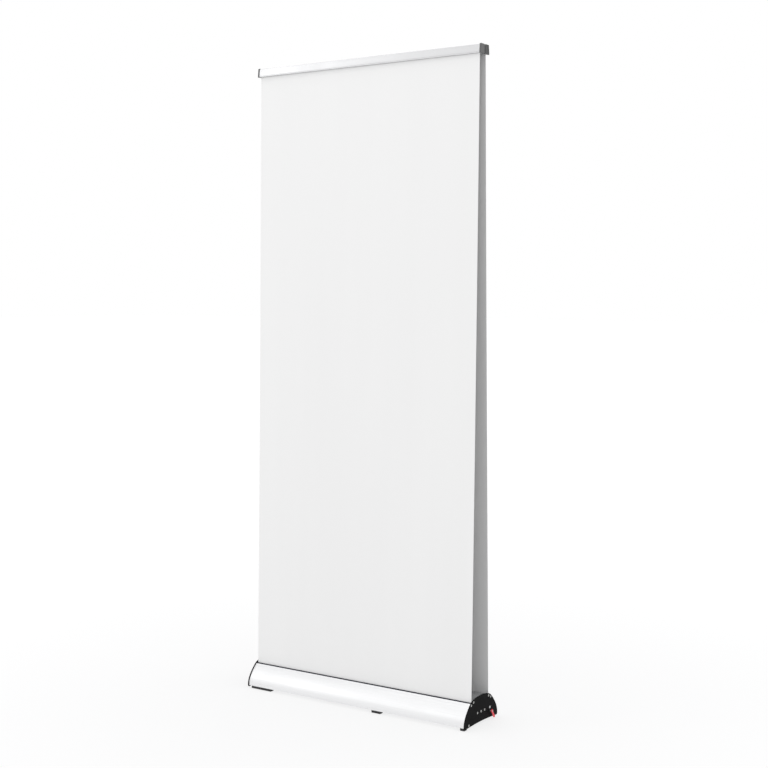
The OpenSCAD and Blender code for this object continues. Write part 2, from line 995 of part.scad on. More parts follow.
front_shell();
rear_shell();
center_beam();
bottom_tray();
tray_rivets();
left_end_plate();
right_end_plate();
end_plate_screws();
rubber_feet();
front_slot_wiper();
rear_slot_wiper();
front_spring_axle();
rear_spring_axle();
front_idle_pin();
rear_idle_pin();
front_torsion_spring();
rear_torsion_spring();
front_banner();
rear_banner();
front_roller_tube();
front_spring_plug();
front_spring_anchor();
front_idle_plug();
front_film_roll();
rear_roller_tube();
rear_spring_plug();
rear_spring_anchor();
rear_idle_plug();
rear_film_roll();
front_lock_pin();
rear_lock_pin();
front_pin_grip();
rear_pin_grip();
pole_socket();
socket_screws();
pole_lower_tube();
pole_foot_plug();
lower_collet();
lower_lock_collar();
pole_middle_tube();
middle_bush();
upper_collet();
upper_lock_collar();
pole_upper_tube();
upper_bush();
pole_head();
front_rail_body();
front_rail_cap_left();
front_rail_cap_right();
front_rail_jaw();
front_jaw_gripper();
rear_rail_body();
rear_rail_cap_left();
rear_rail_cap_right();
rear_rail_jaw();
rear_jaw_gripper();
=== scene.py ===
"""Looks of the double-sided roll-up banner stand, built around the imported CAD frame.

The frame has x along the stand, y to the rear and z up. Outlines are y-z sections in millimetres, which
become metres when a mesh is made. The stand is the same after half a turn about z, so most pieces are built
once, for the rear (at +y), and turned for the front.
"""

import json
import math

import bpy
from mathutils import Matrix, Vector
from mathutils.geometry import tessellate_polygon


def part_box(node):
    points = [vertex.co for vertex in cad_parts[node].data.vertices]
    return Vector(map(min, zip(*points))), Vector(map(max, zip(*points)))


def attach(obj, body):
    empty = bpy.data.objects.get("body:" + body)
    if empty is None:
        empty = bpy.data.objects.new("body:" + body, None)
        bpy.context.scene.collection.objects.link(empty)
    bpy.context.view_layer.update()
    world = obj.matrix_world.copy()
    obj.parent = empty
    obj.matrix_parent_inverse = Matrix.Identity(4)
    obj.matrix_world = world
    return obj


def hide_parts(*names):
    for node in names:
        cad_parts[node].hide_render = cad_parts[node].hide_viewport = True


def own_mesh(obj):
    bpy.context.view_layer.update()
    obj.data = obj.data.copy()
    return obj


MM = 0.001
HALF_TURN = Matrix.Rotation(math.pi, 4, "Z")

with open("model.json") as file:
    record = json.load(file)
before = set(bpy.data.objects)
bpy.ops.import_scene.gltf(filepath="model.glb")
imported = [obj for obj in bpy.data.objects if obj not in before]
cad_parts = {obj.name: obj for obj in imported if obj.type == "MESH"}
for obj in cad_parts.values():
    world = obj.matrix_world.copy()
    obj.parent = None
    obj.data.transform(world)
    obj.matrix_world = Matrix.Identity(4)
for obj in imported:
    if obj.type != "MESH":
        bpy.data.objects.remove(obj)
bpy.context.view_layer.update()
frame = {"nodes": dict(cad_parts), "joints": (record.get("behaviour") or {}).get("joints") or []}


# ---------------------------------------------------------------- places, from the frame (millimetres)


def node_box(node):
    low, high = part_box(node)
    return low / MM, high / MM


def joint_place(name):
    joint = next(j for j in frame["joints"] if j["name"] == name)
    return Vector(joint["pos_m"]) / MM


PLATE_LOW, PLATE_HIGH = node_box("right_end_plate")
INNER_X = PLATE_LOW.x
PLATE_X = PLATE_HIGH.x
PLATE_TOP_Z = PLATE_HIGH.z
SHELL_LOW, SHELL_HIGH = node_box("rear_shell")
BELLY_Z = SHELL_LOW.z
FILM_LOW, FILM_HIGH = node_box("rear_banner")
FILM_HALF_W = FILM_HIGH.x
RAIL_LOW, RAIL_HIGH = node_box("rear_rail_body")
RAIL_IN_Y = RAIL_LOW.y
RAIL_Z = RAIL_LOW.z
RAIL_TOP_Z = RAIL_HIGH.z
JAW_LOW, JAW_HIGH = node_box("rear_rail_jaw")
CAP_HIGH = node_box("rear_rail_cap_right")[1]
ROLLER = joint_place("rear_roller_spin")
HINGE = joint_place("rear_jaw_open")

# The film leaves its slot here, leans in over its run, and ends upright in the rail
SLOT_Y = 52.6
SLOT_Z = 75.2
FILM_RUN = 2000.0
FILM_TOP_Y = 17.6
FILM_T = 0.4

# Half arch of an end plate: radius and end angle in degrees of each arc, from the top outwards
ARCH = ((209.5, 11.6), (49.7, 42.2), (167.9, 57.1), (58.7, 90.0))
# The casing's wall, and how far it stands in from the plate's arch
WALL = 1.8
SHELL_INSET = 2.5


# ---------------------------------------------------------------- outlines

# A corner that turns by less than this (radians) stays a plain point
STRAIGHT = 0.02
# The most of an edge that the rounding of one of its corners may use
EDGE_SHARE = 0.49


def arc(cy, cz, r, start, end, step=6.0):
    """Points of an arc, angles in degrees from +y towards +z, both ends included."""
    n = max(1, math.ceil(abs(end - start) / step))
    turns = [math.radians(start + (end - start) * k / n) for k in range(n + 1)]
    return [(cy + r * math.cos(a), cz + r * math.sin(a)) for a in turns]


def arch(inset, step=1.0):
    """The half arch, moved in by inset, from the top (y = 0) to where the side stands upright."""
    cy, cz, start = 0.0, PLATE_TOP_Z - ARCH[0][0], 0.0
    points = [(0.0, PLATE_TOP_Z - inset)]
    for i, (r, end) in enumerate(ARCH):
        points += arc(cy, cz, r - inset, 90 - start, 90 - end, step)[1:]
        if i + 1 < len(ARCH):
            shrink = r - ARCH[i + 1][0]
            cy += shrink * math.sin(math.radians(end))
            cz += shrink * math.cos(math.radians(end))
            start = end
    return points


def fillet(corners, step=12.0):
    """A closed outline from (y, z, radius) corners, each rounded by its radius where there is room."""
    out = []
    n = len(corners)
    for i, (y, z, r) in enumerate(corners):
        here = Vector((y, z))
        back = Vector(corners[i - 1][:2]) - here
        on = Vector(corners[(i + 1) % n][:2]) - here
        back_u, on_u = back.normalized(), on.normalized()
        turn = math.pi - back_u.angle(on_u)
        if r <= 0 or turn < STRAIGHT:
            out.append((y, z))
            continue
        reach = min(r * math.tan(turn / 2), EDGE_SHARE * back.length, EDGE_SHARE * on.length)
        radius = reach / math.tan(turn / 2)
        centre = here + (back_u + on_u).normalized() * math.hypot(reach, radius)
        first = (here + back_u * reach - centre).normalized()
        last = (here + on_u * reach - centre).normalized()
        steps = max(2, math.ceil(math.degrees(turn) / step))
        out += [tuple(centre + first.slerp(last, k / steps) * radius) for k in range(steps + 1)]
    return out


# ---------------------------------------------------------------- meshes


def add_object(name, verts, faces, material, smooth_deg=35.0, second=None, second_faces=()):
    """A mesh from millimetre points, smooth up to an angle; some faces can take a second material."""
    mesh = bpy.data.meshes.new(name)
    mesh.from_pydata([Vector(v) * MM for v in verts], [], faces)
    mesh.materials.append(material)
    if second is not None:
        mesh.materials.append(second)
        for i in second_faces:
            mesh.polygons[i].material_index = 1
    mesh.validate()
    mesh.shade_smooth()
    mesh.set_sharp_from_angle(angle=math.radians(smooth_deg))
    obj = bpy.data.objects.new(name, mesh)
    bpy.context.scene.collection.objects.link(obj)
    return obj


def bevel(obj, width_mm):
    """Rounds the sharp edges of a mesh by a width."""
    mod = obj.modifiers.new("rounded_edges", "BEVEL")
    mod.width = width_mm * MM
    mod.segments = 2
    mod.limit_method = "ANGLE"
    mod.angle_limit = math.radians(40.0)
    mod.harden_normals = False


def area_of(outline):
    """Signed area of a closed outline, positive when it runs from +y towards +z."""
    return 0.5 * sum(a[0] * b[1] - b[0] * a[1] for a, b in zip(outline, outline[1:] + outline[:1]))


def quads(start, n, count):
    """Quads between a number of closed rings of n points each, counted from a first point."""
    faces = []
    for k in range(count - 1):
        a, b = start + k * n, start + (k + 1) * n
        faces += [(a + i, a + (i + 1) % n, b + (i + 1) % n, b + i) for i in range(n)]
    return faces


def filled(verts, loops, outward):
    """Triangles that fill the first loop round the others, facing +x or -x."""
    flat = [i for loop in loops for i in loop]
    faces = []
    for corners in tessellate_polygon([[Vector(verts[i]) for i in loop] for loop in loops]):
        a, b, c = (flat[i] for i in corners)
        pa, pb, pc = (Vector(verts[i]) for i in (a, b, c))
        faces_outward = (pb - pa).cross(pc - pa).x * outward > 0
        faces.append((a, b, c) if faces_outward else (a, c, b))
    return faces


def prism_x(name, outline, x0, x1, material):
    """A y-z outline drawn out from x0 to x1."""
    if area_of(outline) < 0:
        outline = outline[::-1]
    n = len(outline)
    verts = [(x, y, z) for x in (x0, x1) for y, z in outline]
    ends = [list(range(n))[::-1], list(range(n, 2 * n))]
    return add_object(name, verts, ends + quads(0, n, 2), material)


def loft(name, rings, material, holes=()):
    """Closed rings of points joined by quads; the first and last are filled, round any holes."""
    n = len(rings[0])
    verts = [p for ring in rings for p in ring]
    faces = quads(0, n, len(rings))
    first_loops = [range(n)]
    last_loops = [range(len(verts) - n, len(verts))]
    for hole in holes:
        m, start = len(hole[0]), len(verts)
        verts += [p for ring in hole for p in ring]
        faces += [(a, d, c, b) for a, b, c, d in quads(start, m, len(hole))]
        first_loops.append(range(start, start + m))
        last_loops.append(range(len(verts) - m, len(verts)))
    faces += filled(verts, first_loops, -1) + filled(verts, last_loops, 1)
    return add_object(name, verts, faces, material)


def turned(obj, name):
    """A copy of a rear piece, turned half round z to the front."""
    copy = obj.copy()
    copy.data = obj.data.copy()
    copy.data.transform(HALF_TURN)
    copy.name = name
    copy.data.name = name
    bpy.context.scene.collection.objects.link(copy)
    return copy


def place(obj, body, slot, *nodes):
    """Hangs a piece on its body and hides the CAD nodes it stands for."""
    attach(obj, body)
    if nodes:
        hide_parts(*nodes)


def both(rear, kind, body, slot, *nodes):
    """Places a rear piece and its front twin; body and node names take the side's name in front."""
    front = turned(rear, f"front_{kind}")
    for side, obj in (("rear", rear), ("front", front)):
        name = body if body == "base" else f"{side}_{body}"
        place(obj, name, slot, *(f"{side}_{n}" for n in nodes))


# ---------------------------------------------------------------- materials


def node_tree(name, colour, roughness, metallic=0.0, specular=0.5, coat=0.0, coat_roughness=0.2):
    """A material with its plain values on the shader's own sockets."""
    mat = bpy.data.materials.new(name)
    mat.use_nodes = True
    tree = mat.node_tree
    shader = tree.nodes["Principled BSDF"]
    shader.inputs["Base Color"].default_value = (*colour, 1.0)
    shader.inputs["Roughness"].default_value = roughness
    shader.inputs["Metallic"].default_value = metallic
    shader.inputs["Specular IOR Level"].default_value = specular
    shader.inputs["Coat Weight"].default_value = coat
    shader.inputs["Coat Roughness"].default_value = coat_roughness
    return mat, tree, shader


def coords(tree, scale=(1.0, 1.0, 1.0)):
    """Object coordinates, scaled along each axis."""
    source = tree.nodes.new("ShaderNodeTexCoord")
    mapping = tree.nodes.new("ShaderNodeMapping")
    mapping.inputs["Scale"].default_value = scale
    tree.links.new(source.outputs["Object"], mapping.inputs["Vector"])
    return mapping.outputs["Vector"]


def noise(tree, vector, scale, detail=3.0, roughness=0.55):
    tex = tree.nodes.new("ShaderNodeTexNoise")
    tex.inputs["Scale"].default_value = scale
    tex.inputs["Detail"].default_value = detail
    tex.inputs["Roughness"].default_value = roughness
    tree.links.new(vector, tex.inputs["Vector"])
    return tex.outputs["Fac"]


def remap(tree, value, low, high, from_low=0.3, from_high=0.7):
    node = tree.nodes.new("ShaderNodeMapRange")
    node.inputs["From Min"].default_value = from_low
    node.inputs["From Max"].default_value = from_high
    node.inputs["To Min"].default_value = low
    node.inputs["To Max"].default_value = high
    tree.links.new(value, node.inputs["Value"])
    return node.outputs["Result"]


def vary_colour(tree, shader, share, first, second):
    """Base colour that goes from the first to the second as the share goes from 0 to 1."""
    node = tree.nodes.new("ShaderNodeMix")
    node.data_type = "RGBA"
    node.inputs["A"].default_value = (*first, 1.0)
    node.inputs["B"].default_value = (*second, 1.0)
    tree.links.new(share, node.inputs["Factor"])
    tree.links.new(node.outputs["Result"], shader.inputs["Base Color"])


def vary_roughness(tree, shader, value, low, high):
    """Roughness that goes from low to high as a noise rises."""
    tree.links.new(remap(tree, value, low, high), shader.inputs["Roughness"])


def bump(tree, shader, height, strength, distance_mm):
    node = tree.nodes.new("ShaderNodeBump")
    node.inputs["Strength"].default_value = strength
    node.inputs["Distance"].default_value = distance_mm * MM
    tree.links.new(height, node.inputs["Height"])
    tree.links.new(node.outputs["Normal"], shader.inputs["Normal"])


def anodised(name, colour, roughness, along=(4.0, 900.0, 900.0), streak=0.06):
    """Satin anodised aluminium: fine lines along the extrusion, and a broad uneven sheen."""
    mat, tree, shader = node_tree(name, colour, roughness, metallic=0.9, coat=0.15, coat_roughness=0.35)
    lines = noise(tree, coords(tree, along), 1.0, detail=2.0)
    broad = noise(tree, coords(tree, (6.0, 6.0, 6.0)), 1.0, detail=4.0)
    darker = tuple(c * (1 - streak) for c in colour)
    vary_colour(tree, shader, remap(tree, lines, 0.0, 1.0), darker, colour)
    vary_roughness(tree, shader, broad, roughness - 0.04, roughness + 0.05)
    bump(tree, shader, lines, 0.25, 0.02)
    return mat


def powder_coat(name, colour):
    """Matt powder coat: orange-peel grain and faint grey scuffs."""
    mat, tree, shader = node_tree(name, colour, 0.55, specular=0.04)
    peel = noise(tree, coords(tree), 900.0, detail=2.0)
    scuff = noise(tree, coords(tree), 28.0, detail=6.0, roughness=0.7)
    worn = tuple(min(1.0, c * 1.7 + 0.004) for c in colour)
    vary_colour(tree, shader, remap(tree, scuff, 0.0, 1.0, 0.52, 0.8), colour, worn)
    vary_roughness(tree, shader, scuff, 0.46, 0.6)
    bump(tree, shader, peel, 0.35, 0.05)
    return mat


def moulded(name, colour, roughness=0.42, grain=1400.0, depth=0.03):
    """Moulded plastic or rubber: fine spark-eroded grain and slow colour drift."""
    mat, tree, shader = node_tree(name, colour, roughness)
    fine = noise(tree, coords(tree), grain, detail=2.0)
    slow = noise(tree, coords(tree), 35.0, detail=3.0)
    light = tuple(min(1.0, c * 1.18 + 0.002) for c in colour)
    vary_colour(tree, shader, remap(tree, slow, 0.0, 1.0), colour, light)
    vary_roughness(tree, shader, slow, roughness - 0.05, roughness + 0.07)
    bump(tree, shader, fine, 0.3, depth)
    return mat


def turned_steel(name, colour, roughness):
    """Zinc-plated or turned steel: tool lines round the axis and a mottled sheen."""
    mat, tree, shader = node_tree(name, colour, roughness, metallic=1.0)
    lines = noise(tree, coords(tree, (1500.0, 60.0, 60.0)), 1.0, detail=2.0)
    mottle = noise(tree, coords(tree), 180.0, detail=3.0)
    dull = tuple(c * 0.8 for c in colour)
    vary_colour(tree, shader, remap(tree, mottle, 0.0, 1.0), dull, colour)
    vary_roughness(tree, shader, mottle, roughness - 0.06, roughness + 0.12)
    bump(tree, shader, lines, 0.2, 0.02)
    return mat


def threads(tree, direction):
    """The weave's threads along one direction, as a soft wave."""
    wave = tree.nodes.new("ShaderNodeTexWave")
    wave.wave_type = "BANDS"
    wave.bands_direction = direction
    wave.wave_profile = "SIN"
    wave.inputs["Scale"].default_value = 260.0
    wave.inputs["Distortion"].default_value = 0.4
    wave.inputs["Detail"].default_value = 1.0
    tree.links.new(coords(tree), wave.inputs["Vector"])
    return wave.outputs["Fac"]


def film_face(name, colour, roughness, weave_depth):
    """Coated banner film: a faint woven scrim under the coat, and slow calendering bands."""
    mat, tree, shader = node_tree(name, colour, roughness, specular=0.35)
    weave = tree.nodes.new("ShaderNodeMath")
    weave.operation = "ADD"
    tree.links.new(threads(tree, "X"), weave.inputs[0])
    tree.links.new(threads(tree, "Z"), weave.inputs[1])
    bands = noise(tree, coords(tree, (7.0, 1.0, 0.6)), 1.0, detail=2.0)
    darker = tuple(c * 0.985 for c in colour)
    vary_colour(tree, shader, remap(tree, bands, 0.0, 1.0), darker, colour)
    vary_roughness(tree, shader, bands, roughness - 0.03, roughness + 0.03)
    bump(tree, shader, weave.outputs["Value"], weave_depth, 0.02)
    return mat


SHELL_METAL = anodised("shell_anodised", (0.86, 0.862, 0.87), 0.42)
DECK_METAL = anodised("deck_anodised", (0.62, 0.625, 0.635), 0.38)
TRAY_METAL = anodised("tray_mill", (0.6, 0.605, 0.615), 0.42, streak=0.12)
RAIL_METAL = anodised("rail_anodised", (0.67, 0.672, 0.68), 0.33)
POLE_METAL = anodised("pole_anodised", (0.68, 0.69, 0.71), 0.28, along=(900.0, 900.0, 4.0))
ROLLER_METAL = anodised("roller_mill", (0.62, 0.63, 0.645), 0.4, streak=0.12)
PLATE_BLACK = powder_coat("plate_powder_coat", (0.0035, 0.0035, 0.0038))
SCREW_STEEL = turned_steel("zinc_screws", (0.5, 0.5, 0.49), 0.32)
AXLE_STEEL = turned_steel("axle_steel", (0.6, 0.6, 0.6), 0.26)
SPRING_STEEL = turned_steel("spring_steel", (0.3, 0.3, 0.31), 0.35)
RUBBER = moulded("foot_rubber", (0.014, 0.014, 0.015), 0.7, grain=700.0, depth=0.06)
WIPER = moulded("wiper_rubber", (0.008, 0.009, 0.022), 0.75, grain=900.0, depth=0.05)
GRIPPER = moulded("gripper_rubber", (0.045, 0.045, 0.048), 0.6)
BLACK_PLASTIC = moulded("black_plastic", (0.02, 0.02, 0.022))
PLUG_PLASTIC = moulded("plug_plastic", (0.03, 0.03, 0.033), 0.5)
COLLET_PLASTIC = moulded("collet_plastic", (0.78, 0.78, 0.75), 0.4)
RED_PLASTIC = moulded("red_plastic", (0.7, 0.03, 0.05), 0.33, grain=1100.0)
# One grey for the rails' end caps; the rear caps' darker copy of it is painted shade
CAP_FRONT = moulded("cap_grey_front", (0.095, 0.095, 0.096), 0.5)
CAP_REAR_PAINTED_SHADE = moulded("cap_grey_rear_painted_shade", (0.045, 0.045, 0.046), 0.5)
FILM_WHITE = film_face("film_white", (0.82, 0.82, 0.82), 0.5, 0.05)
FILM_GREY = film_face("film_grey_back", (0.66, 0.66, 0.66), 0.55, 0.08)


# ---------------------------------------------------------------- casing

NOSE_Y = 60.0
FLANGE_IN_Y = 68.0
GROOVE_RUN = 9.0
GROOVE_HALF_W = 0.7
GROOVE_DEPTH = 0.6
# Points of the groove, as shares of its half width and of its depth
GROOVE_BED = ((-1.0, 0.0), (-0.55, 0.8), (0.0, 1.0), (0.55, 0.8), (1.0, 0.0))


def with_groove(points):
    """The outer wall's points, with a small round-bottomed groove a set run below the first."""
    first = Vector(points[0])
    before = [p for p in points if (Vector(p) - first).length < GROOVE_RUN - GROOVE_HALF_W]
    after = [p for p in points if (Vector(p) - first).length > GROOVE_RUN + GROOVE_HALF_W]
    a, b = Vector(before[-1]), Vector(after[0])
    run = (b - a).normalized()
    inward = Vector((run.y, -run.x))
    middle = (a + b) / 2
    bed = [middle + run * GROOVE_HALF_W * s + inward * GROOVE_DEPTH * d for s, d in GROOVE_BED]
    return before + [tuple(p) for p in bed] + after


def casing_outline():
    """Curved wall with a nosed lip at the slot and a flange under the base."""
    outer = with_groove([p for p in arch(SHELL_INSET) if p[0] > NOSE_Y])
    inner = [p for p in arch(SHELL_INSET + WALL) if p[0] > NOSE_Y and p[1] > BELLY_Z + 2 * WALL]
    low_y, low_z = outer[-1]
    bend = low_z - BELLY_Z
    a, b = Vector(outer[0]), Vector(inner[0])
    mid, half = (a + b) / 2, (a - b).length / 2
    start = math.degrees(math.atan2(b.y - mid.y, b.x - mid.x))
    nose = arc(mid.x, mid.y, half, start, start - 180, 20.0)[1:-1]
    flange_top = BELLY_Z + WALL
    return (
        outer
        + arc(low_y - bend, low_z, bend, 0, -90, 15.0)[1:]
        + [(FLANGE_IN_Y, BELLY_Z), (FLANGE_IN_Y, flange_top), (low_y - WALL, flange_top)]
        + inner[::-1]
        + nose
    )


def casing():
    rear = prism_x("rear_casing_shell", casing_outline(), SHELL_LOW.x, SHELL_HIGH.x, SHELL_METAL)
    both(rear, "casing_shell", "base", "shell_aluminium", "shell")


WIPER_LIP_W = 2.7
WIPER_LIP_ROOT = 0.4
WIPER_STEP_Z = 76.5


def slot_wiper():
    """Dark strip in the slot: a block with a soft lip that stands up beside the film."""
    low, high = node_box("rear_slot_wiper")
    lip_y = low.y + WIPER_LIP_W
    outline = fillet([
        (low.y, low.z, 0.3),
        (high.y, low.z, 0.3),
        (high.y, WIPER_STEP_Z, 0.6),
        (lip_y + WIPER_LIP_ROOT, WIPER_STEP_Z, 0.6),
        (lip_y, high.z, 1.2),
        (low.y, high.z, 0.9),
    ])
    rear = prism_x("rear_wiper_strip", outline, low.x, high.x, WIPER)
    both(rear, "wiper_strip", "base", "wiper_rubber", "slot_wiper")


# ---------------------------------------------------------------- middle extrusion

DECK_Z = node_box("center_beam")[1].z
DECK_T = 2.4
BOSS_R = 3.8
DECK_BOSS_Y = 46.8
DECK_NOSE_Y = 50.75
DECK_NOSE_LOW_Z = 75.1
DECK_NOSE_HIGH_Z = 77.6
DECK_GROOVES_Y = (26.0, 30.0, 38.0, 42.0)
DECK_GROOVE_DEPTH = 0.6
DECK_GROOVE_HALF_W = 0.5
DECK_GROOVE_BED_HALF_W = 0.3
WEB_Y = 22.0
WEB_T = 2.0
WEB_IN_Y = WEB_Y - WEB_T / 2
WEB_OUT_Y = WEB_Y + WEB_T / 2
WEB_FOOT_W = 11.0
WEB_OVERLAP = 0.5
TRAY_T = 1.6


def deck_grooves():
    """The deck's top from the middle plane outwards, with its fine grooves."""
    mouth, bed, bed_z = DECK_GROOVE_HALF_W, DECK_GROOVE_BED_HALF_W, DECK_Z - DECK_GROOVE_DEPTH
    points = [(0.0, DECK_Z)]
    for y in DECK_GROOVES_Y:
        points += [(y - mouth, DECK_Z), (y - bed, bed_z), (y + bed, bed_z), (y + mouth, DECK_Z)]
    return points


def deck_outline():
    """Grooved deck with a round nose at each slot, standing on two flanged webs with screw bosses."""
    boss_z = DECK_Z - BOSS_R
    under = DECK_Z - DECK_T
    nose_r = (DECK_NOSE_HIGH_Z - DECK_NOSE_LOW_Z) / 2
    nose_turn = math.degrees(math.asin((DECK_NOSE_HIGH_Z - boss_z) / BOSS_R))
    under_turn = 180 - math.degrees(math.asin((under - boss_z) / BOSS_R))
    meet = math.degrees(math.acos(WEB_T / 2 / BOSS_R))
    foot_y = WEB_IN_Y + WEB_FOOT_W
    foot_z = BELLY_Z + WALL + TRAY_T
    foot_top = foot_z + WEB_T
    half = deck_grooves()
    half += arc(DECK_BOSS_Y, boss_z, BOSS_R, 90, nose_turn)
    half += arc(DECK_NOSE_Y, DECK_NOSE_LOW_Z + nose_r, nose_r, 90, -90, 15.0)
    half += arc(DECK_BOSS_Y, boss_z, BOSS_R, 270, under_turn)
    half += [(WEB_OUT_Y, under)]
    half += arc(WEB_Y, ROLLER.z, BOSS_R, meet, -meet)
    half += [(WEB_OUT_Y, foot_top), (foot_y, foot_top), (foot_y, foot_z), (WEB_IN_Y, foot_z)]
    half += arc(WEB_Y, ROLLER.z, BOSS_R, meet - 180, -180 - meet)
    half += [(WEB_IN_Y, under)]
    return half + [(-y, z) for y, z in half[:0:-1]]


def middle_extrusion():
    """The deck on its two webs, and the cross web between them with the middle screw boss."""
    deck = prism_x("deck_extrusion", deck_outline(), SHELL_LOW.x, SHELL_HIGH.x, DECK_METAL)
    place(deck, "base", "deck_aluminium", "center_beam")
    lift = math.degrees(math.asin(WEB_T / 2 / BOSS_R))
    end_y = WEB_IN_Y + WEB_OVERLAP
    low_z, high_z = ROLLER.z - WEB_T / 2, ROLLER.z + WEB_T / 2
    outline = (
        [(end_y, low_z), (end_y, high_z)]
        + arc(0, ROLLER.z, BOSS_R, lift, 180 - lift)
        + [(-end_y, high_z), (-end_y, low_z)]
        + arc(0, ROLLER.z, BOSS_R, 180 + lift, 360 - lift)
    )
    web = prism_x("deck_cross_web", outline, SHELL_LOW.x, SHELL_HIGH.x, DECK_METAL)
    place(web, "base", "deck_aluminium")


# ---------------------------------------------------------------- end plates

PLATE_CORNER_R = 6.0
PLATE_BELLY_RISE = 4.0
BELLY_STEPS = 12
SCREW_R = 1.95
SCREW_HEAD_R = 3.7
SCREW_HEAD_T = 2.0
SCREW_RIM = 0.15
# Screw places (y, z): one at the middle and four on each side
SIDE_SCREWS = ((DECK_BOSS_Y, 79.2), (60.3, 72.5), (75.0, 13.2), (WEB_Y, 40.0))
PLATE_SCREWS = [(side * y, z) for side in (-1, 1) for y, z in SIDE_SCREWS] + [(0.0, 40.0)]
# The axle's and the pin's holes: radius of the bore and of its mouth in the outer face
AXLE_HOLE = (4.05, 4.3)
PIN_HOLE = (2.5, 2.8)
MOUTH_DEPTH = 0.3
PIN_Z = ROLLER.z - 11.5


def plate_ring(inset):
    """Outline of an end plate, moved in by inset: arch, round feet, slightly hollow belly."""
    side = arch(inset, 2.0)
    low_y, low_z = side[-1]
    toe = arc(low_y + inset - PLATE_CORNER_R, low_z, PLATE_CORNER_R - inset, 0, -90, 10.0)
    edge_y, edge_z = toe[-1]
    left = [1 - k / BELLY_STEPS for k in range(1, BELLY_STEPS + 1)]
    half = side + toe[1:] + [(edge_y * s, edge_z + PLATE_BELLY_RISE * (1 - s**2)) for s in left]
    full = half + [(-y, z) for y, z in half[-2:0:-1]]
    return full[::-1]


def hole_rings(y, z, sizes, steps=28):
    """Rings of a round hole: a radius at each place along x."""
    return [[(x, py, pz) for py, pz in arc(y, z, r, 0, 360, 360 / steps)[:-1]] for x, r in sizes]


def end_plates():
    """The right plate, with its rolled edge and every hole, and the same plate turned for the left."""
    thick = PLATE_X - INNER_X
    # Steps of the edge: how far out from the inner face, and how far in from the outline
    edge = [
        (0.0, 1.2), (0.0, 0.35), (0.1, 0.1), (0.35, 0.0), (thick - 1.1, 0.0), (thick - 0.65, 0.1),
        (thick - 0.3, 0.35), (thick - 0.08, 0.75), (thick, 1.3), (thick, 2.2),
    ]
    rings = [[(INNER_X + x, y, z) for y, z in plate_ring(inset)] for x, inset in edge]
    screw = [
        (INNER_X, SCREW_R),
        (PLATE_X - SCREW_HEAD_T, SCREW_R),
        (PLATE_X - SCREW_RIM, SCREW_HEAD_R),
        (PLATE_X, SCREW_HEAD_R + SCREW_RIM),
    ]
    holes = [hole_rings(y, z, screw) for y, z in PLATE_SCREWS]
    for z, (bore_r, mouth_r) in ((ROLLER.z, AXLE_HOLE), (PIN_Z, PIN_HOLE)):
        bore = [(INNER_X, bore_r), (PLATE_X - MOUTH_DEPTH, bore_r), (PLATE_X, mouth_r)]
        holes.append(hole_rings(ROLLER.y, z, bore))
    right = loft("right_plate_cover", rings, PLATE_BLACK, holes)
    left = turned(right, "left_plate_cover")
    place(right, "base", "plate_black", "right_end_plate")
    place(left, "base", "plate_black", "left_end_plate")


# ---------------------------------------------------------------- feet and grips

# Both ends of each foot along x
FEET_X = ((336.0, 418.0), (-112.0, -79.0), (-425.6, -411.0))
FOOT_IN_Y = 80.0
FOOT_EDGE_Z = 1.2
FOOT_EDGE_R = 0.5
FOOT_RIBS = 5
RIB_MARGIN = 0.8
RIB_DEPTH = 0.8


def foot_outline(out_y, top_z):
    """Section of a foot, its sole cut into ribs."""
    width = out_y - FOOT_IN_Y
    rib = width / FOOT_RIBS
    sole = []
    for k in range(FOOT_RIBS):
        y = FOOT_IN_Y + RIB_MARGIN + (width - 2 * RIB_MARGIN) * (k + 0.5) / FOOT_RIBS
        sole += [(y - rib * 0.3, 0.0), (y + rib * 0.3, 0.0)]
        if k + 1 < FOOT_RIBS:
            sole += [(y + rib * 0.36, RIB_DEPTH), (y + rib * 0.6, RIB_DEPTH)]
    return [(FOOT_IN_Y, top_z), (FOOT_IN_Y, FOOT_EDGE_Z)] + sole + [(out_y, FOOT_EDGE_Z), (out_y, top_z)]


def feet():
    """Rubber feet with a ribbed sole, three under each long side."""
    high = node_box("rubber_feet")[1]
    for k, (x0, x1) in enumerate(FEET_X):
        rear = prism_x(f"rear_foot_{k}", foot_outline(high.y, high.z), x0, x1, RUBBER)
        bevel(rear, FOOT_EDGE_R)
        both(rear, f"foot_{k}", "base", "foot_rubber")
    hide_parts("rubber_feet")


GRIP_HUB_R = 5.2
GRIP_HALF_W = 3.7
GRIP_ARM = 23.9
GRIP_TURN = -57.0
GRIP_BORE_R = 2.45
GRIP_DISH = 0.45


def grip_ring(inset):
    """Paddle outline round the pin: a hub, a straight arm and a round end, turned to its rest place."""
    hub, half = GRIP_HUB_R - inset, GRIP_HALF_W - inset
    turn = math.degrees(math.asin(half / hub))
    points = arc(0, 0, hub, turn, 360 - turn, 12.0) + arc(GRIP_ARM, 0, half, -90, 90, 12.0)
    c, s = math.cos(math.radians(GRIP_TURN)), math.sin(math.radians(GRIP_TURN))
    return [(ROLLER.y + u * c - v * s, PIN_Z + u * s + v * c) for u, v in points]


